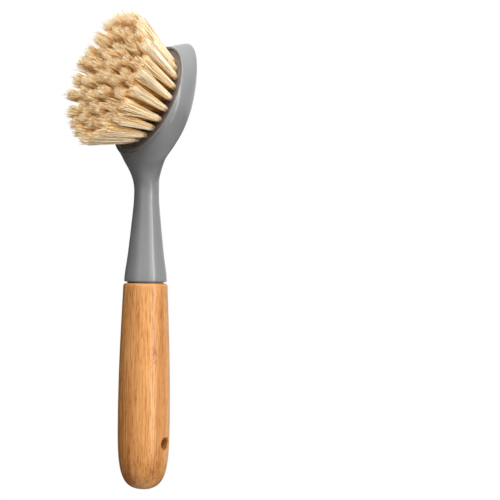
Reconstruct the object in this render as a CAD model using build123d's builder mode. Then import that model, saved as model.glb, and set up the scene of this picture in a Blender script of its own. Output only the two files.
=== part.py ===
from math import cos, pi, radians, sin, sqrt
import os
import random

from build123d import *

# Dish brush: a bamboo handle, a grey plastic neck and head in one moulding, and a
# round plate in the head that holds tufts of bristles by metal anchors.
# Millimetres. +Z runs up the handle to the head, the bristles face -Y, and the
# origin is on the handle's axis, at the centre of the hang hole.

# Bamboo handle. Its outline is two curves that meet at its widest place. The shares say
# how far each curve's pull points reach along its own width or length.
handle_below_hole = 23.4
handle_above_hole = 82.15
handle_widest_height = 12.0
handle_radius = 13.35
handle_mouth_radius = 11.33
handle_mouth_round = 1.4
end_pull_across_share = 0.92
end_pull_up_share = 0.70
side_pull_up_share = 0.43
side_pull_down_share = 0.28
side_lean_share = 0.39

# Hang hole through the handle, turned from the brush's side towards its back
hang_hole_radius = 3.4
hang_hole_round = 0.6
hang_hole_turn = 31.5

# Tang of the neck, and its socket in the handle
tang_radius = 6.5
tang_length = 40.0
tang_tip_chamfer = 1.0
tang_rib_height = 0.35
tang_rib_width = 2.4
tang_rib_pitch = 8.0
tang_rib_count = 4
tang_first_rib = 6.0
rib_clearance = 0.05
socket_spare_depth = 1.5
collar_gap = 0.75
gap_shoulder_radius = 9.4
core_radius = 3.6
core_top_radius = 2.6
core_above_collar = 44.0

# Neck, from its collar to just above its narrowest place, as shares of height and radius
collar_radius = 10.95
collar_edge_round = 0.4
neck_length = 45.9
neck_shares = [
    (0.0, 1.0),
    (0.14, 0.955),
    (0.32, 0.850),
    (0.52, 0.752),
    (0.72, 0.668),
    (0.88, 0.600),
    (1.0, 0.580),
    (1.10, 0.598),
]

# Head
head_height = 176.7
head_tilt = 22.5
rim_radius = 29.5
rim_wall = 1.3
rim_inner_chamfer = 0.4
cup_depth = 5.2
cavity_depth = 3.6
cavity_radius = 21.0
head_thickness = 12.3
scraper_reach = 7.2
scraper_power = 6

# Outlines of the head from its rim to its back, as shares: depth in the head's
# thickness, radius in the rim's radius, and how much of the scraper tip it has.
outline_shares = [
    (0.0, 0.985, 0.0),
    (0.035, 1.0, 0.03),
    (0.25, 0.994, 0.34),
    (0.52, 0.980, 0.60),
    (0.76, 0.950, 0.84),
    (0.91, 0.910, 1.03),
    (1.0, 0.860, 0.95),
]

# Level sections of the flare between neck and head, as shares of the rim's radius from
# the rim's centre: height, front, back, half width, and how square the section is.
flare_shares = [
    (-1.305, -0.277, 0.235, 0.257, 0.0),
    (-1.200, -0.328, 0.255, 0.315, 0.01),
    (-1.095, -0.372, 0.276, 0.395, 0.02),
    (-0.990, -0.388, 0.298, 0.505, 0.02),
    (-0.885, -0.350, 0.320, 0.640, 0.02),
    (-0.740, -0.265, 0.350, 0.760, 0.02),
    (-0.530, -0.150, 0.385, 0.825, 0.02),
    (-0.280, 0.0, 0.420, 0.790, 0.0),
    (0.060, 0.150, 0.480, 0.640, 0.0),
    (0.350, 0.270, 0.570, 0.450, 0.0),
]
section_points = 24
outline_points_count = 40

# Bristle plate, and the slices of its face that the tufts are fused to
plate_recess = 1.0
plate_clearance = 0.1
snap_bead_height = 0.3
snap_bead_width = 0.9
snap_clearance = 0.08
slice_thickness = 0.8
slice_gap = 0.04
slice_border = 2.6

# Tufts: one in the middle and rings around it
ring_count = 4
ring_pitch = 5.8
tufts_per_ring_step = 6
tuft_root_radius = 1.4
root_clearance = 0.05
root_length = 1.3
anchor_height = 1.4
anchor_width = 2.7
anchor_thickness = 0.4
tuft_length = 27.2
tuft_spread_share = 1.43
strands_around = 6
strand_root_spacing = 0.93
strand_tip_spacing = 2.15
strand_root_width = 0.6
strand_tip_width = 1.4
strand_length_spread = 0.9

cut_overrun = 8.0

collar_height = handle_above_hole + collar_gap
socket_radius = tang_radius + tang_rib_height + rib_clearance
cup_radius = rim_radius - rim_wall
plate_radius = cup_radius - plate_clearance
plate_thickness = cup_depth - plate_recess
slice_outer_radius = ring_count * ring_pitch + slice_border
root_hole_depth = root_length + anchor_height
tilt = radians(head_tilt)
rim_plane = Plane(origin=(0, 0, head_height), x_dir=(1, 0, 0), z_dir=(0, -cos(tilt), sin(tilt)))
face_plane = rim_plane.offset(-plate_recess)
slice_floor_plane = face_plane.offset(-slice_thickness)
cup_floor_plane = rim_plane.offset(-cup_depth)
chance = random.Random(5)


def turns(count):
    """Evenly spaced angles of one full turn."""
    return [2 * pi * k / count for k in range(count)]


def closed_curve(points):
    """A smooth closed curve whose knots are the same on every section of a loft."""
    knots = [float(k) for k in range(len(points) + 1)]
    return Edge.make_spline([Vector(*p) for p in points], periodic=True, parameters=knots)


def flare_points(front, back, half_width, square):
    """Points of a level section of the flare, from its side point round."""
    middle = rim_radius * (front + back) / 2
    reach = rim_radius * (back - front) / 2
    width = rim_radius * half_width / (1 - square)
    return [
        (width * (cos(t) - square * cos(3 * t)), middle + reach * sin(t)) for t in turns(section_points)
    ]


def outline_points(radius, tip):
    """Points of an outline of the head: a circle drawn out to the scraper tip."""
    points = []
    for t in turns(outline_points_count):
        reach = radius + scraper_reach * tip * max(cos(t), 0) ** scraper_power
        points.append((reach * sin(t), reach * cos(t)))
    return points


def tuft_places(ring):
    """Tuft centres of one ring, on the plate's face."""
    if ring == 0:
        return [Vector(0, 0, 0)]
    return [Vector(cos(t), sin(t), 0) * (ring * ring_pitch) for t in turns(ring * tufts_per_ring_step)]


def degrees_around(place):
    """Angle of a tuft's place around the plate's middle, in degrees."""
    return Vector(1, 0, 0).get_signed_angle(place, Vector(0, 0, 1)) if place.length > 0 else 0


def strand(root, tip, turn):
    """One strand: a square prism that widens and leans out from its root to its tip."""
    ends = []
    for centre, width in ((root, strand_root_width), (tip, strand_tip_width)):
        corners = [centre + Vector(cos(turn + t), sin(turn + t), 0) * (width / sqrt(2)) for t in turns(4)]
        ends.append(Wire.make_polygon([face_plane.from_local_coords(corner) for corner in corners]))
    return Solid.make_loft(ends, ruled=True)


def tuft_strands(centre):
    """The strands of one tuft: one in its middle and the others around it."""
    strands = []
    spin = chance.uniform(0, pi)
    outward = [Vector(0, 0, 0)] + [Vector(cos(spin + t), sin(spin + t), 0) for t in turns(strands_around)]
    for direction in outward:
        length = tuft_length - chance.uniform(0, strand_length_spread)
        root = centre + direction * strand_root_spacing - Vector(0, 0, slice_thickness / 2)
        tip = centre * tuft_spread_share + direction * strand_tip_spacing + Vector(0, 0, length)
        strands.append(strand(root, tip, spin))
    return strands


# Bamboo handle, turned outside, with a blind socket for the tang and the hang hole
end_length = handle_widest_height + handle_below_hole
side_length = handle_above_hole - handle_widest_height
side_narrowing = handle_radius - handle_mouth_radius
hole_axis = Vector(cos(radians(hang_hole_turn)), sin(radians(hang_hole_turn)), 0)

with BuildPart() as bamboo_handle:
    with BuildSketch(Plane.XZ):
        with BuildLine():
            bottom = (0, -handle_below_hole)
            widest = (handle_radius, handle_widest_height)
            mouth = (handle_mouth_radius, handle_above_hole)
            Bezier(
                bottom,
                (handle_radius * end_pull_across_share, -handle_below_hole),
                (handle_radius, handle_widest_height - end_length * end_pull_up_share),
                widest,
            )
            Bezier(
                widest,
                (handle_radius, handle_widest_height + side_length * side_pull_up_share),
                (
                    handle_mouth_radius + side_narrowing * side_lean_share,
                    handle_above_hole - side_length * side_pull_down_share,
                ),
                mouth,
            )
            Polyline(mouth, (0, handle_above_hole), bottom)
        make_face()
    revolve(axis=Axis.Z)
    fillet(edges().group_by(Axis.Z)[-1], handle_mouth_round)
    with Locations((0, 0, handle_above_hole)):
        Hole(socket_radius, socket_spare_depth + tang_length)
    with Locations(Plane(origin=(0, 0, 0), z_dir=hole_axis)):
        Hole(hang_hole_radius)
    hole_edges = edges(Select.LAST)
    fillet(hole_edges, hang_hole_round)
bamboo_handle.part.label = "bamboo_handle"

# Neck and head in one moulding: the neck with its flare, the head behind its rim, the
# tang below the collar, and the cup that takes the plate
with BuildPart() as neck:
    for height_share, radius_share in neck_shares:
        radius = collar_radius * radius_share
        with BuildSketch(Plane.XY.offset(collar_height + neck_length * height_share)):
            with BuildLine():
                add(closed_curve([(radius * cos(t), radius * sin(t)) for t in turns(section_points)]))
            make_face()
    for height_share, *shares in flare_shares:
        with BuildSketch(Plane.XY.offset(head_height + rim_radius * height_share)):
            with BuildLine():
                add(closed_curve(flare_points(*shares)))
            make_face()
    loft()

with BuildPart() as disc:
    for depth_share, radius_share, tip_share in outline_shares:
        with BuildSketch(rim_plane.offset(-head_thickness * depth_share)):
            with BuildLine():
                add(closed_curve(outline_points(rim_radius * radius_share, tip_share)))
            make_face()
    loft()

with BuildPart() as neck_and_head:
    add(neck.part)
    add(disc.part)
    fillet(edges().group_by(Axis.Z)[0], collar_edge_round)
    with Locations((0, 0, handle_above_hole)):
        Cylinder(gap_shoulder_radius, collar_gap, align=(Align.CENTER, Align.CENTER, Align.MIN))
        Cylinder(tang_radius, tang_length, align=(Align.CENTER, Align.CENTER, Align.MAX))
    chamfer(edges().group_by(Axis.Z)[0], tang_tip_chamfer)
    for index in range(tang_rib_count):
        with Locations((0, 0, handle_above_hole - tang_first_rib - tang_rib_pitch * index)):
            Cone(tang_radius, tang_radius + tang_rib_height, tang_rib_width)
    core_length = tang_length + collar_gap + core_above_collar
    with Locations((0, 0, handle_above_hole - tang_length)):
        Cone(
            core_radius,
            core_top_radius,
            core_length,
            align=(Align.CENTER, Align.CENTER, Align.MIN),
            mode=Mode.SUBTRACT,
        )
    with Locations(cup_floor_plane):
        Cylinder(
            cup_radius,
            cup_depth + cut_overrun,
            align=(Align.CENTER, Align.CENTER, Align.MIN),
            mode=Mode.SUBTRACT,
        )
        Cylinder(
            cavity_radius,
            cavity_depth,
            align=(Align.CENTER, Align.CENTER, Align.MAX),
            mode=Mode.SUBTRACT,
        )
    with Locations(rim_plane):
        Cone(
            cup_radius + rim_inner_chamfer,
            cup_radius,
            rim_inner_chamfer,
            align=(Align.CENTER, Align.CENTER, Align.MAX),
            rotation=(180, 0, 0),
            mode=Mode.SUBTRACT,
        )
    with Locations(cup_floor_plane.offset(plate_thickness / 2)):
        groove_radius = plate_radius + snap_bead_height + snap_clearance
        groove_width = snap_bead_width + 2 * snap_clearance
        Cylinder(groove_radius, groove_width, mode=Mode.SUBTRACT)
neck_and_head.part.label = "neck_and_head"

# Bristle plate: snaps into the cup, with a blind hole for the root of each tuft
with BuildPart() as bristle_plate:
    with Locations(cup_floor_plane):
        Cylinder(plate_radius, plate_thickness, align=(Align.CENTER, Align.CENTER, Align.MIN))
    with Locations(cup_floor_plane.offset(plate_thickness / 2)):
        Cylinder(plate_radius + snap_bead_height, snap_bead_width)
    with Locations(face_plane):
        Hole(slice_outer_radius + slice_gap, slice_thickness)
    for ring in range(ring_count + 1):
        with Locations(slice_floor_plane):
            with Locations(*[tuple(place) for place in tuft_places(ring)]):
                Hole(tuft_root_radius + root_clearance, root_hole_depth)
bristle_plate.part.label = "bristle_plate"


def build_tufts(ring):
    """The tufts of one ring, fused to their slice of the plate's face."""
    strands = [piece for place in tuft_places(ring) for piece in tuft_strands(place)]
    outer = slice_outer_radius if ring == ring_count else ring_pitch * (ring + 1 / 2) - slice_gap
    with BuildPart() as tufts:
        with BuildSketch(slice_floor_plane):
            Circle(outer)
            if ring > 0:
                Circle(ring_pitch * (ring - 1 / 2), mode=Mode.SUBTRACT)
        extrude(amount=slice_thickness)
        with BuildSketch(slice_floor_plane):
            with Locations(*[tuple(place) for place in tuft_places(ring)]):
                Circle(tuft_root_radius)
        extrude(amount=-root_length)
        add(strands)
    return tufts.part


def build_anchors(ring):
    """The flat metal anchors that hold one ring of tufts in their holes."""
    with BuildPart() as anchors:
        for place in tuft_places(ring):
            around = degrees_around(place)
            with Locations(slice_floor_plane.offset(-root_hole_depth)):
                with Locations(Location(tuple(place), (0, 0, around))):
                    Box(
                        anchor_thickness,
                        anchor_width,
                        anchor_height,
                        align=(Align.CENTER, Align.CENTER, Align.MIN),
                    )
    return anchors.part


tufts = {}
anchors = {}
for ring in range(ring_count + 1):
    name = "middle" if ring == 0 else f"ring_{ring}"
    tufts[name] = build_tufts(ring)
    tufts[name].label = f"tufts_{name}"
    anchors[name] = build_anchors(ring)
    anchors[name].label = f"anchors_{name}"

os.makedirs("parts", exist_ok=True)
export_step(bamboo_handle.part, "parts/bamboo_handle.step")
export_step(neck_and_head.part, "parts/neck_and_head.step")
export_step(bristle_plate.part, "parts/bristle_plate.step")
for name in tufts:
    export_step(tufts[name], f"parts/tufts_{name}.step")
    export_step(anchors[name], f"parts/anchors_{name}.step")
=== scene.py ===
from math import cos, pi, radians, sin, sqrt
import random

import bmesh
import bpy
from mathutils import Matrix, Vector


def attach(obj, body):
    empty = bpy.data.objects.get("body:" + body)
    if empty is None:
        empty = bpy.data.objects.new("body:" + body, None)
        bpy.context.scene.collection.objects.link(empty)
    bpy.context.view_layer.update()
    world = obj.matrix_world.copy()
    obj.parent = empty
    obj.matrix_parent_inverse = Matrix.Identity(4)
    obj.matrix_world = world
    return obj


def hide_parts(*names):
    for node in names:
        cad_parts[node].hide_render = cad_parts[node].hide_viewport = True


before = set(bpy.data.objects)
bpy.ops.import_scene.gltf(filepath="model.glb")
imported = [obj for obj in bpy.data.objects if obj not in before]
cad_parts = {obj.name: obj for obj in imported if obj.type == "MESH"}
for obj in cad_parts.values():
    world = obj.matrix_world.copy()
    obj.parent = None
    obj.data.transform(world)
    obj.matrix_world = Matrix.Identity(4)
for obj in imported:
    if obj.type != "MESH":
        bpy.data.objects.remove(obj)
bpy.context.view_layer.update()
scene = bpy.context.scene

# The brush's sizes, in metres
mm = 0.001
head_height = 176.7 * mm
head_tilt = radians(22.5)
turned_segments = 64
plate_recess = 1.0 * mm

# Tufts: their tips spread by a share of their roots' places, and tilt and twist a little
ring_count = 4
ring_pitch = 5.8 * mm
tufts_per_ring_step = 6
tuft_length = 27.4 * mm
tuft_root_radius = 1.4 * mm
tuft_tip_radius = 3.35 * mm
tuft_spread_share = 1.43
tip_tilt = 2.6 * mm
tip_twist = 1.0 * mm

# A core of packed hairs in each tuft
core_length = 21 * mm
core_root_radius = 1.25 * mm
core_end_radius = 2.35 * mm
core_sides = 8
core_tone = 0.8

# Hairs: the number in a tuft of the middle and of each ring
hairs_per_tuft = (110, 110, 110, 110, 170)
hair_width = 0.48 * mm
hair_sides = 3
# A hair's height in millimetres, its share of the width and the share to which its tuft is pinched
hair_levels = [
    (-0.3, 0.70, 0.72), (0.5, 0.9, 0.92), (1.8, 1.0, 1.0), (14.0, 1.0, 1.0), (24.5, 0.95, 1.0),
    (27.4, 0.35, 1.0),
]

# Chance, with lengths in millimetres: the tufts' lean and length, then the hairs' stray tips, bow and length
chance = random.Random(11)
tuft_lean, tuft_lean_up, tuft_unevenness = 0.6, 0.5, 0.5
hair_stray, hair_bow, hair_unevenness = 0.4, 0.15, 1.0
outer_hairs_shorter = 0.3
unruly_share, unruly_stray, unruly_longer = 0.05, 3, 1.0
tone_power = 0.6

# The bristles' painted shade, darker and more golden: below the tips, in from the brush's side and near a
# tuft's own edge
shade_below_tips = 9 * mm
shade_in_from_side = 5 * mm
edge_shade_start, edge_shade_width, edge_shade_strength = 0.7, 0.3, 0.5

# The head's own directions: out of the bristles' side, and up the rim
rim_centre = Vector((0, 0, head_height))
out_of_face = Vector((0, -cos(head_tilt), sin(head_tilt)))
up_the_rim = Vector((0, sin(head_tilt), cos(head_tilt)))
across = Vector((1, 0, 0))


def on_the_head(aside, up, out):
    """A point in the head's own directions, from the rim's centre."""
    return rim_centre + across * aside + up_the_rim * up + out_of_face * out


# Materials


def new_material(name, colour, roughness):
    """A material, its node tree and its shader."""
    material = bpy.data.materials.new(name)
    material.use_nodes = True
    tree = material.node_tree
    shader = tree.nodes["Principled BSDF"]
    shader.inputs["Base Color"].default_value = (*colour, 1)
    shader.inputs["Roughness"].default_value = roughness
    return material, tree, shader


def new_node(tree, kind, settings=None, **attributes):
    """A node with its attributes and the values of its sockets set."""
    made = tree.nodes.new(kind)
    for key, value in attributes.items():
        setattr(made, key, value)
    for key, value in (settings or {}).items():
        made.inputs[key].default_value = value
    return made


def fill_input(tree, place, value):
    """Gives an input a value, which is a number, a colour or a socket."""
    if isinstance(value, bpy.types.NodeSocket):
        tree.links.new(value, place)
    else:
        place.default_value = value


def stretched(tree, scale, rotation=(0, 0, 0)):
    """Object coordinates, scaled and turned."""
    coordinates = new_node(tree, "ShaderNodeTexCoord")
    mapping = new_node(tree, "ShaderNodeMapping", {"Scale": scale, "Rotation": rotation})
    tree.links.new(coordinates.outputs["Object"], mapping.inputs["Vector"])
    return mapping.outputs["Vector"]


def noise(tree, scale, detail, **settings):
    """A noise with its own scale in each direction."""
    made = new_node(tree, "ShaderNodeTexNoise", {"Scale": 1, "Detail": detail, **settings})
    tree.links.new(stretched(tree, scale), made.inputs["Vector"])
    return made.outputs["Fac"]


def remapped(tree, value, settings):
    """A value moved from one range to another."""
    made = new_node(tree, "ShaderNodeMapRange", settings)
    tree.links.new(value, made.inputs["Value"])
    return made.outputs["Result"]


def ramp(tree, value, stops):
    """A colour ramp on a value: stops of place and colour."""
    made = new_node(tree, "ShaderNodeValToRGB")
    elements = made.color_ramp.elements
    while len(elements) < len(stops):
        elements.new(0.5)
    for element, (place, colour) in zip(elements, stops):
        element.position = place
        element.color = (*colour, 1)
    tree.links.new(value, made.inputs["Fac"])
    return made.outputs["Color"]


def mixed(tree, factor, first, second, blend="MIX"):
    """Two colours mixed by a factor; each of the three is a value or a socket."""
    made = new_node(tree, "ShaderNodeMix", data_type="RGBA", blend_type=blend)
    for name, value in (("Factor", factor), ("A", first), ("B", second)):
        fill_input(tree, [place for place in made.inputs if place.name == name and place.enabled][0], value)
    return [place for place in made.outputs if place.enabled][0]


def maths(tree, operation, first, second):
    """A maths node's result: each of the two values is a number or a socket."""
    made = new_node(tree, "ShaderNodeMath", operation=operation)
    for place, value in zip(made.inputs, (first, second)):
        fill_input(tree, place, value)
    return made.outputs[0]


def mixed_shaders(tree, factor, first, second, output):
    """Two shaders mixed by a factor, as the surface of an output."""
    made = new_node(tree, "ShaderNodeMixShader")
    for place, value in zip(made.inputs, (factor, first, second)):
        tree.links.new(value, place)
    tree.links.new(made.outputs[0], tree.nodes[output].inputs["Surface"])


def bumpy(tree, shader, height, strength, distance):
    """A bump from a height socket to the shader's normal."""
    bump = new_node(tree, "ShaderNodeBump", {"Strength": strength, "Distance": distance})
    tree.links.new(height, bump.inputs["Height"])
    tree.links.new(bump.outputs["Normal"], shader.inputs["Normal"])


def grey_plastic_material():
    """Satin grey moulded plastic, a little uneven in sheen."""
    material, tree, shader = new_material("grey_plastic", (0.205, 0.207, 0.208), 0.22)
    shader.inputs["Specular IOR Level"].default_value = 0.4
    fine = noise(tree, (900, 900, 900), 3)
    broad = noise(tree, (45, 45, 45), 2)
    colour = ramp(tree, broad, [(0.3, (0.196, 0.198, 0.199)), (0.7, (0.214, 0.216, 0.217))])
    tree.links.new(colour, shader.inputs["Base Color"])
    sheen = remapped(tree, broad, {"To Min": 0.18, "To Max": 0.26})
    tree.links.new(sheen, shader.inputs["Roughness"])
    bumpy(tree, shader, fine, 0.08, 0.02 * mm)
    return material


def plate_shaded_material():
    """Duller plastic of the plate that holds the tufts; its darker, browner colour is painted shade and a
    painted brown reflection of the bristles.
    """
    material, tree, shader = new_material("plate_plastic", (0.15, 0.125, 0.115), 0.5)
    broad = noise(tree, (200, 200, 200), 3)
    colour = ramp(tree, broad, [(0.3, (0.135, 0.11, 0.1)), (0.7, (0.17, 0.14, 0.13))])
    tree.links.new(colour, shader.inputs["Base Color"])
    bumpy(tree, shader, broad, 0.1, 0.05 * mm)
    return material


def bristle_material():
    """Pale natural bristle: each hair has its own tone, and painted shade makes it darker and more golden
    deep in the brush.
    """
    material, tree, shader = new_material("bristle_cream", (0.95, 0.8, 0.55), 0.5)
    tone = new_node(tree, "ShaderNodeAttribute", attribute_name="tone").outputs["Fac"]
    depth = new_node(tree, "ShaderNodeAttribute", attribute_name="depth").outputs["Fac"]
    # The depth attribute sets painted shade: cream outside, darker and golden deep in the brush
    outside, lightly_shaded, inside = (1.0, 0.9, 0.7), (1.0, 0.76, 0.42), (0.88, 0.5, 0.16)
    shade_colour = ramp(tree, depth, [(0.0, outside), (0.25, lightly_shaded), (1.0, inside)])
    darkest, dark = (0.66, 0.38, 0.15), (0.92, 0.72, 0.46)
    light, lightest = (1.0, 0.96, 0.88), (1.0, 1.0, 1.0)
    tone_colour = ramp(tree, tone, [(0.0, darkest), (0.22, dark), (0.45, light), (1.0, lightest)])
    colour = mixed(tree, 1.0, shade_colour, tone_colour, "MULTIPLY")
    tree.links.new(colour, shader.inputs["Base Color"])
    return material


def spot(tree, aside, height, place, size):
    """One inside an upright ellipse on the handle, falling to nought at its edge."""
    level = maths(tree, "DIVIDE", maths(tree, "SUBTRACT", aside, place[0]), size[0])
    upward = maths(tree, "DIVIDE", maths(tree, "SUBTRACT", height, place[1]), size[1])
    squares = maths(tree, "ADD", maths(tree, "POWER", level, 2), maths(tree, "POWER", upward, 2))
    return maths(tree, "MAXIMUM", maths(tree, "SUBTRACT", 1, squares), 0)


def bamboo_grain(tree, fibres):
    """The bamboo's colour without marks: broad strips, fine fibres and end-grain pores."""
    strips = noise(tree, (200, 200, 4), 1, Roughness=0.4)
    pores = noise(tree, (1700, 1700, 160), 2, Roughness=0.6)
    plain = (1.0, 1.0, 1.0)
    colour = ramp(
        tree, strips, [(0.3, (0.45, 0.177, 0.046)), (0.5, (0.62, 0.278, 0.085)), (0.7, (0.745, 0.372, 0.13))]
    )
    streaks = ramp(tree, fibres, [(0.32, (0.62, 0.46, 0.32)), (0.5, plain), (0.7, (1.15, 1.22, 1.35))])
    flecks = ramp(tree, pores, [(0.32, (0.64, 0.48, 0.34)), (0.48, plain)])
    colour = mixed(tree, 0.8, colour, streaks, "MULTIPLY")
    return mixed(tree, 0.8, colour, flecks, "MULTIPLY")


def bamboo_material():
    """Laminated bamboo: its grain, the glue lines between its strips, a painted highlight band, a node mark
    and a crack.
    """
    material, tree, shader = new_material("bamboo", (0.7, 0.36, 0.13), 0.36)
    shader.inputs["Specular IOR Level"].default_value = 0.35
    fibres = noise(tree, (1500, 1500, 35), 3, Roughness=0.7)
    colour = bamboo_grain(tree, fibres)

    # Millimetres across the laminated strips, through them and up the handle
    parts = new_node(tree, "ShaderNodeSeparateXYZ")
    strip_turn = (0, 0, radians(-60))
    tree.links.new(stretched(tree, (1000, 1000, 1000), strip_turn), parts.inputs["Vector"])
    aside, through, height = parts.outputs
    front = maths(tree, "LESS_THAN", through, 0)

    # Glue lines, by their place across the handle, with a lighter, bluer band where the highlight falls,
    # which is a painted highlight; they fade towards its rounded end
    place = remapped(tree, aside, {"From Min": -13.5, "From Max": 13.5})
    plain, dark, pale, dull = (1.0, 1.0, 1.0), (0.76, 0.6, 0.46), (1.05, 1.1, 1.2), (0.8, 0.66, 0.54)
    painted_highlight_band = (1.04, 1.06, 1.12)
    glue_lines_and_highlight = ramp(
        tree,
        place,
        [
            (0.150, plain), (0.160, dark), (0.178, dark), (0.184, pale), (0.192, dark), (0.27, dull),
            (0.29, plain), (0.66, plain), (0.68, painted_highlight_band), (0.73, painted_highlight_band), (0.75, plain),
        ],
    )
    faded = remapped(tree, height, {"From Min": 45, "From Max": 25, "To Min": 0.25})
    colour = mixed(tree, faded, colour, glue_lines_and_highlight, "MULTIPLY")

    # The node mark is broken up by curls, and the crack leans with the handle's side
    curls = noise(tree, (900, 900, 420), 1, Distortion=0.6)
    node_place, node_size = (5.9, 45.4), (2.2, 6.0)
    node_mark = maths(tree, "MULTIPLY", spot(tree, aside, height, node_place, node_size), front)
    node_mark = maths(tree, "MULTIPLY", node_mark, maths(tree, "GREATER_THAN", curls, 0.52))
    colour = mixed(tree, node_mark, colour, (0.33, 0.12, 0.03, 1))
    crack_place, crack_size, crack_lean = (6.15, -13.0), (0.22, 7.0), 0.05
    leaning = maths(tree, "SUBTRACT", aside, maths(tree, "MULTIPLY", height, crack_lean))
    crack = maths(tree, "MULTIPLY", spot(tree, leaning, height, crack_place, crack_size), front)
    colour = mixed(tree, crack, colour, (0.1, 0.04, 0.02, 1))
    tree.links.new(colour, shader.inputs["Base Color"])
    bumpy(tree, shader, fibres, 0.2, 0.05 * mm)
    return material


grey_plastic = grey_plastic_material()
plate_plastic = plate_shaded_material()
bristle_cream = bristle_material()
bamboo = bamboo_material()
staple_metal, _, staple_shader = new_material("staple_metal", (0.7, 0.6, 0.4), 0.35)
staple_shader.inputs["Metallic"].default_value = 1


# Shapes


def finished_mesh(bm, name):
    """A mesh from a bmesh, which ends here."""
    mesh = bpy.data.meshes.new(name)
    bm.to_mesh(mesh)
    bm.free()
    return mesh


def put_in_scene(name, data):
    """An object with its data, linked to the scene."""
    made = bpy.data.objects.new(name, data)
    scene.collection.objects.link(made)
    return made


def finished_piece(bm, name, material, slot, *nodes):
    """A piece from a bmesh: normals outwards, smooth, on the brush's body, standing for CAD nodes."""
    bmesh.ops.recalc_face_normals(bm, faces=bm.faces)
    mesh = finished_mesh(bm, name)
    for face in mesh.polygons:
        face.use_smooth = True
    mesh.materials.append(material)
    piece = put_in_scene(name, mesh)
    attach(piece, "root")
    if nodes:
        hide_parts(*nodes)
    return piece


def next_ring(bm, edges):
    """A ring of edges extruded: the new ring's vertices and edges."""
    grown = bmesh.ops.extrude_edge_only(bm, edges=edges)["geom"]
    fresh = {part for part in grown if isinstance(part, bmesh.types.BMVert)}
    edges = [part for part in grown if isinstance(part, bmesh.types.BMEdge)]
    return fresh, [edge for edge in edges if edge.verts[0] in fresh and edge.verts[1] in fresh]


def shell_from_rings(rings, count):
    """A closed shell through rings, each a function from a turn's angle to a point, capped at both ends."""
    bm = bmesh.new()
    place = bm.verts.layers.int.new("place")
    bmesh.ops.create_circle(bm, cap_ends=True, segments=count, radius=1)
    for index, vertex in enumerate(bm.verts):
        vertex[place] = index
        vertex.co = rings[0](2 * pi * index / count)
    edges = list(bm.edges)
    for ring in rings[1:]:
        fresh, edges = next_ring(bm, edges)
        for vertex in fresh:
            vertex.co = ring(2 * pi * vertex[place] / count)
    bmesh.ops.contextual_create(bm, geom=edges)
    return bm


def level_ring(radius, height):
    """A level circle round the neck's axis; its turn starts at the back."""
    return lambda angle: Vector((radius * sin(angle), radius * cos(angle), height))


def rim_ring(radius, depth):
    """A circle round the rim's axis, at a depth behind the rim; its turn starts at the top."""
    return lambda angle: on_the_head(radius * sin(angle), radius * cos(angle), -depth)


def bent_ring(top, bottom, side, half_width):
    """A ring through a top, a bottom and two side points, given back and up from the rim's centre."""
    top, bottom, side = (Vector((0, back, head_height + up)) for back, up in (top, bottom, side))
    middle = ((top + bottom) / 2 + side) / 2
    swing = (top - bottom) / 2
    bend = ((top + bottom) / 2 - side) / 2
    return lambda angle: (
        middle + swing * cos(angle) + bend * cos(2 * angle) + across * half_width * sin(angle)
    )


# Neck and head in millimetres, from the bottom up: radius and height of the tang with its ribs, of the
# shoulder and collar, and of the neck
tang_rings = [(5.5, 42.15), (6.5, 43.15)]
for rib in (52.15, 60.15, 68.15, 76.15):
    tang_rings += [(6.5, rib - 1.2), (6.85, rib + 1.1), (6.5, rib + 1.2)]
collar_rings = [
    (6.5, 82.1), (9.35, 82.15), (9.4, 82.2), (9.4, 82.85), (9.45, 82.9), (10.6, 82.9), (10.86, 83.0),
]
neck_rings = [
    (10.95, 83.3), (10.93, 84.6), (10.75, 87.0), (10.35, 89.8), (9.85, 93.0), (9.4, 96.2), (8.85, 100.8),
    (8.35, 105.6), (7.85, 110.2), (7.35, 115.2), (6.85, 120.0), (6.5, 124.4), (6.36, 128.6), (6.45, 131.8),
]
# Flare and head: back and up of the top, the bottom and the side points, then half the width
head_rings = [
    ((6.4, -41.5), (-6.8, -41.8), (-1.2, -41.7), 6.9),
    ((7.1, -37.5), (-7.6, -39.6), (-0.5, -39.2), 7.9),
    ((8.1, -31.4), (-8.7, -37.2), (0.3, -36.3), 9.7),
    ((9.8, -21.8), (-9.6, -35), (1.8, -32.8), 12.4),
    ((12.2, -7.8), (-10.2, -33.2), (3.4, -29), 15.9),
    ((16.9, 8.8), (-10.7, -31.8), (6, -22.9), 19.8),
    ((21.8, 21.1), (-11.1, -30.7), (8.5, -16), 23.3),
    ((23.9, 29.2), (-10.8, -29.7), (7.1, -12.9), 25.2),
    ((21.7, 29.1), (-11.1, -28.8), (5.1, -7.6), 28.3),
    ((15.2, 27.8), (-11.5, -28.2), (1.2, -3.7), 30.3),
]
# Rim and cup: radius and depth behind the rim
rim_rings = [
    (29.6, 0.9), (29.55, 0.35), (29.35, 0.08), (29.05, 0.0), (28.65, 0.02), (28.35, 0.2), (28.22, 0.6),
    (28.1, 1.4), (27.7, 4.6), (27.5, 5.2), (26.5, 5.2), (10.0, 5.2),
]
moulding_rings = [level_ring(r * mm, z * mm) for r, z in tang_rings + collar_rings + neck_rings]
moulding_rings += [
    bent_ring(*[(back * mm, up * mm) for back, up in points], half_width * mm)
    for *points, half_width in head_rings
]
moulding_rings += [rim_ring(r * mm, depth * mm) for r, depth in rim_rings]
moulding = finished_piece(
    shell_from_rings(moulding_rings, turned_segments),
    "moulding",
    grey_plastic,
    "grey_plastic",
    "neck_and_head",
)
smoothing = moulding.modifiers.new("smooth", "SUBSURF")
smoothing.levels = smoothing.render_levels = 2

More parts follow.
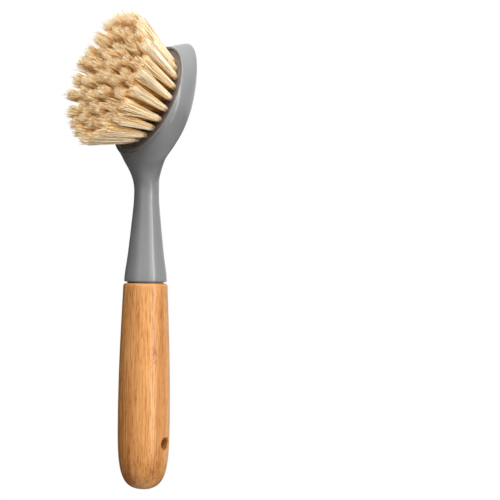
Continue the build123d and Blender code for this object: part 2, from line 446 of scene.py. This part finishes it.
# The plate's face as one disc, which stands for the slices that the CAD tufts are fused to
face_rings = [(20, 1.8), (25.3, 1.8), (25.7, 1.7), (25.8, 1.4), (25.7, 1.08), (25.3, 1.0), (20, 1.0)]
finished_piece(
    shell_from_rings([rim_ring(r * mm, depth * mm) for r, depth in face_rings], turned_segments),
    "plate_face",
    plate_plastic,
    "plate_plastic",
    "tufts_middle",
    *[f"tufts_ring_{k}" for k in range(1, ring_count + 1)],
)


# Bristles: every hair is a thin three-sided blade from its tuft's root to its frayed tip


def straight_hair_mesh():
    """One straight hair: a triangle extruded level by level."""
    bm = bmesh.new()
    level = bm.verts.layers.int.new("level")
    corner = bm.verts.layers.int.new("corner")
    bmesh.ops.create_circle(bm, cap_ends=True, segments=hair_sides, radius=1)
    for index, vertex in enumerate(bm.verts):
        vertex[corner] = index
    edges = list(bm.edges)
    for number in range(1, len(hair_levels)):
        fresh, edges = next_ring(bm, edges)
        bmesh.ops.translate(bm, verts=list(fresh), vec=(0, 0, 1))
        for vertex in fresh:
            vertex[level] = number
    bmesh.ops.contextual_create(bm, geom=edges)
    bmesh.ops.recalc_face_normals(bm, faces=bm.faces)
    return finished_mesh(bm, "hair")


def core_mesh():
    """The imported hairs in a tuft's middle, as one cone that stops below the tips."""
    bm = bmesh.new()
    bmesh.ops.create_cone(
        bm,
        cap_ends=True,
        segments=core_sides,
        radius1=core_root_radius,
        radius2=core_end_radius,
        depth=core_length,
    )
    return finished_mesh(bm, "core")


straight_hair = straight_hair_mesh()
tuft_core = core_mesh()


def scattered(spread, upwards=0):
    """A random step across the head, from millimetres."""
    return Vector((chance.gauss(0, spread), chance.gauss(upwards, spread))) * mm


def spread_by(share):
    """How far the tufts have spread at a share of their length."""
    return 1 + (tuft_spread_share - 1) * share


def painted_shade_at(place, share, spread):
    """How deep in the brush a point is, from nought at its outside to one: the amount of painted shade it
    gets.
    """
    outer = (ring_count * ring_pitch + tuft_root_radius) * spread_by(share)
    below_tips = (1 - share) * tuft_length
    inside = max(outer - place.length, 0)
    # Hairs near a tuft's own edge get painted shade, as from the gaps between tufts
    edge_shade = edge_shade_strength * max(spread - edge_shade_start, 0) / edge_shade_width
    return min(max(below_tips / shade_below_tips, edge_shade), inside / shade_in_from_side, 1)


def bend_hair(vertices, layers, centre, lean, tuft_longer):
    """Lays one hair's vertices along its way from the root to the tip."""
    level, corner, depth, tone = layers
    angle = chance.uniform(0, 2 * pi)
    spread = sqrt(chance.random())
    direction = Vector((cos(angle), sin(angle)))
    root = direction * spread * tuft_root_radius
    tip = direction * spread * tuft_tip_radius
    stray = scattered(hair_stray)
    bow = scattered(hair_bow)
    longer = tuft_longer + (chance.gauss(0, hair_unevenness) - outer_hairs_shorter * spread**3) * mm
    if chance.random() < unruly_share:
        stray = stray * unruly_stray
        longer = longer + unruly_longer * mm
    own_tone = chance.random() ** tone_power
    spin = chance.uniform(0, 2 * pi)
    for vertex in vertices:
        height, thickness, pinch = hair_levels[vertex[level]]
        share = max(height * mm / tuft_length, 0)
        place = centre * spread_by(share) + lean * share
        place = place + root * pinch * (1 - share) + tip * share
        place = place + stray * share**2 + bow * share * (1 - share)
        # The depth attribute carries the hair's painted shade
        vertex[depth] = painted_shade_at(place, share, spread)
        vertex[tone] = own_tone
        around = spin + 2 * pi * vertex[corner] / hair_sides
        place = place + Vector((cos(around), sin(around))) * hair_width / 2 * thickness
        vertex.co = on_the_head(place.x, place.y, height * mm + longer * share - plate_recess)


def add_mesh(bm, mesh):
    """A mesh added to a bmesh: its vertices there."""
    start = len(bm.verts)
    bm.from_mesh(mesh)
    bm.verts.ensure_lookup_table()
    return bm.verts[start:]


def add_core(bm, centre, lean):
    """Lays a core along its tuft."""
    vertices = add_mesh(bm, tuft_core)
    depth, tone = bm.verts.layers.float["depth"], bm.verts.layers.float["tone"]
    for vertex in vertices:
        height = vertex.co.z + core_length / 2
        share = height / tuft_length
        place = centre * spread_by(share) + lean * share + vertex.co.xy
        # The depth attribute carries the core's painted shade
        vertex[depth] = painted_shade_at(place, share, 0)
        vertex[tone] = core_tone
        vertex.co = on_the_head(place.x, place.y, height - plate_recess)


def add_hair(bm, centre, lean, tuft_longer):
    """Adds one hair to its tuft."""
    vertices = add_mesh(bm, straight_hair)
    layers = [bm.verts.layers.int[name] for name in ("level", "corner")]
    layers += [bm.verts.layers.float[name] for name in ("depth", "tone")]
    bend_hair(vertices, layers, centre, lean, tuft_longer)


def bristle_ring(number):
    """All the tufts of one ring, hair by hair."""
    bm = bmesh.new()
    tufts = number * tufts_per_ring_step or 1
    bm.verts.layers.float.new("depth")
    bm.verts.layers.float.new("tone")
    for tuft in range(tufts):
        turn = 2 * pi * tuft / tufts
        centre = Vector((cos(turn), sin(turn))) * number * ring_pitch
        twist = Vector((-sin(turn), cos(turn))) * tip_twist * (-1) ** number
        lean = scattered(tuft_lean, tuft_lean_up) + twist
        tuft_longer = chance.gauss(0, tuft_unevenness) * mm + tip_tilt * centre.y / (ring_count * ring_pitch)
        add_core(bm, centre, lean)
        for _ in range(hairs_per_tuft[number]):
            add_hair(bm, centre, lean, tuft_longer)
    return bm


for number in range(ring_count + 1):
    name = "middle" if number == 0 else f"ring_{number}"
    finished_piece(bristle_ring(number), f"bristles_{name}", bristle_cream, "bristles", f"tufts_{name}")

# CAD nodes that stay: the handle, the plate and the staples
kept_nodes = {"bamboo_handle": bamboo, "bristle_plate": plate_plastic}
for name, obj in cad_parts.items():
    material = staple_metal if name.startswith("anchors") else kept_nodes.get(name)
    if material:
        obj.data.materials.clear()
        obj.data.materials.append(material)


# Camera and studio: azimuths start at the bristles' side, and distances at the brush's middle
camera_azimuth = 60
brush_middle = Vector((0, 0, 0.1))
white = (1, 1, 1, 1)


def direction_to(azimuth, elevation=0):
    """The direction from the brush to an azimuth and an elevation, in degrees."""
    a, e = radians(azimuth), radians(elevation)
    return Vector((sin(a) * cos(e), -cos(a) * cos(e), sin(e)))


# Camera: level and far off, with a slight roll
camera_roll = radians(0.73)
camera_distance = 3.0
sensor_width = 36
pixel_size, picture_pixels = 0.5125, 500
picture_width = pixel_size * picture_pixels * mm
aim_right, aim_up = 0.05462, 0.0992
side = Vector((cos(radians(camera_azimuth)), sin(radians(camera_azimuth)), 0))
towards_camera = direction_to(camera_azimuth)
upright = Vector((0, 0, 1))
picture_right = side * cos(camera_roll) + upright * sin(camera_roll)
picture_up = upright * cos(camera_roll) - side * sin(camera_roll)
lens = bpy.data.cameras.new("camera")
lens.sensor_width = sensor_width
lens.lens = sensor_width * camera_distance / picture_width
lens.clip_end = 20
camera = put_in_scene("camera", lens)
placing = Matrix((picture_right, picture_up, towards_camera)).transposed().to_4x4()
placing.translation = picture_right * aim_right + picture_up * aim_up + towards_camera * camera_distance
camera.matrix_world = placing
scene.camera = camera

# Surroundings: white for the camera and in reflections, dim as a light
scene.view_settings.view_transform = "Standard"
world = bpy.data.worlds.new("studio")
scene.world = world
world.use_nodes = True
tree = world.node_tree
seen = tree.nodes["Background"]
seen.inputs["Color"].default_value = white
seen.inputs["Strength"].default_value = 1
fill = new_node(tree, "ShaderNodeBackground", {"Color": white, "Strength": 0.05})
rays = new_node(tree, "ShaderNodeLightPath").outputs
direct = maths(tree, "MAXIMUM", rays["Is Camera Ray"], rays["Is Glossy Ray"])
direct = maths(tree, "MAXIMUM", direct, rays["Is Transmission Ray"])
mixed_shaders(tree, direct, fill.outputs[0], seen.outputs[0], "World Output")


def soft_light(name, azimuth, elevation, distance, width, height, power):
    """An area light that looks at the brush's middle."""
    data = bpy.data.lights.new(name, "AREA")
    data.shape = "RECTANGLE"
    data.size = width
    data.size_y = height
    data.energy = power
    light = put_in_scene(name, data)
    back = direction_to(azimuth, elevation)
    light.rotation_mode = "QUATERNION"
    light.rotation_quaternion = (-back).to_track_quat("-Z", "Y")
    light.location = brush_middle + back * distance
    light.visible_camera = False
    return light


# From above, from in front, the key and a strip on the right, a weak one on the left, one from behind
soft_light("top_light", camera_azimuth - 35, 76, 1.1, 0.9, 0.9, 12)
soft_light("front_light", camera_azimuth - 10, 42, 1.1, 0.9, 0.9, 6)
soft_light("key_light", camera_azimuth + 40, 25, 1.0, 0.6, 1.0, 6.9)
soft_light("strip_light", camera_azimuth + 48, 3, 1.0, 0.06, 1.2, 4.5)
soft_light("left_light", camera_azimuth - 34, 8, 1.0, 0.35, 1.0, 1.0)
soft_light("back_light", camera_azimuth + 180, 10, 1.0, 0.8, 0.8, 3.5).visible_glossy = False


def square_sheet(name, half_size, height, material):
    """A level square sheet of one face."""
    bm = bmesh.new()
    bmesh.ops.create_grid(bm, x_segments=1, y_segments=1, size=half_size)
    bmesh.ops.translate(bm, verts=bm.verts, vec=(0, 0, height))
    mesh = finished_mesh(bm, name)
    mesh.materials.append(material)
    return put_in_scene(name, mesh)


# A dark card on the left, seen only in reflections: it keeps the left edges dark
card_black, _, _ = new_material("card_black", (0.01, 0.01, 0.01), 0.9)
card = square_sheet("dark_card", 0.6, 0, card_black)
card_side = direction_to(camera_azimuth - 112)
card_distance = 0.45
card.rotation_mode = "QUATERNION"
card.rotation_quaternion = card_side.to_track_quat("Z", "Y")
card.location = brush_middle + card_side * card_distance
card.visible_camera = card.visible_diffuse = card.visible_shadow = False

# A white floor below the brush; for the camera it mostly glows, so that it blends with the white
floor_white, floor_tree, floor_shader = new_material("floor_white", (0.8, 0.8, 0.8), 0.8)
floor_glow = new_node(floor_tree, "ShaderNodeEmission", {"Color": white, "Strength": 1})
floor_path = new_node(floor_tree, "ShaderNodeLightPath")
glow_share = maths(floor_tree, "MULTIPLY", floor_path.outputs["Is Camera Ray"], 0.85)
mixed_shaders(floor_tree, glow_share, floor_shader.outputs[0], floor_glow.outputs[0], "Material Output")
floor = square_sheet("floor", 6, -0.9, floor_white)
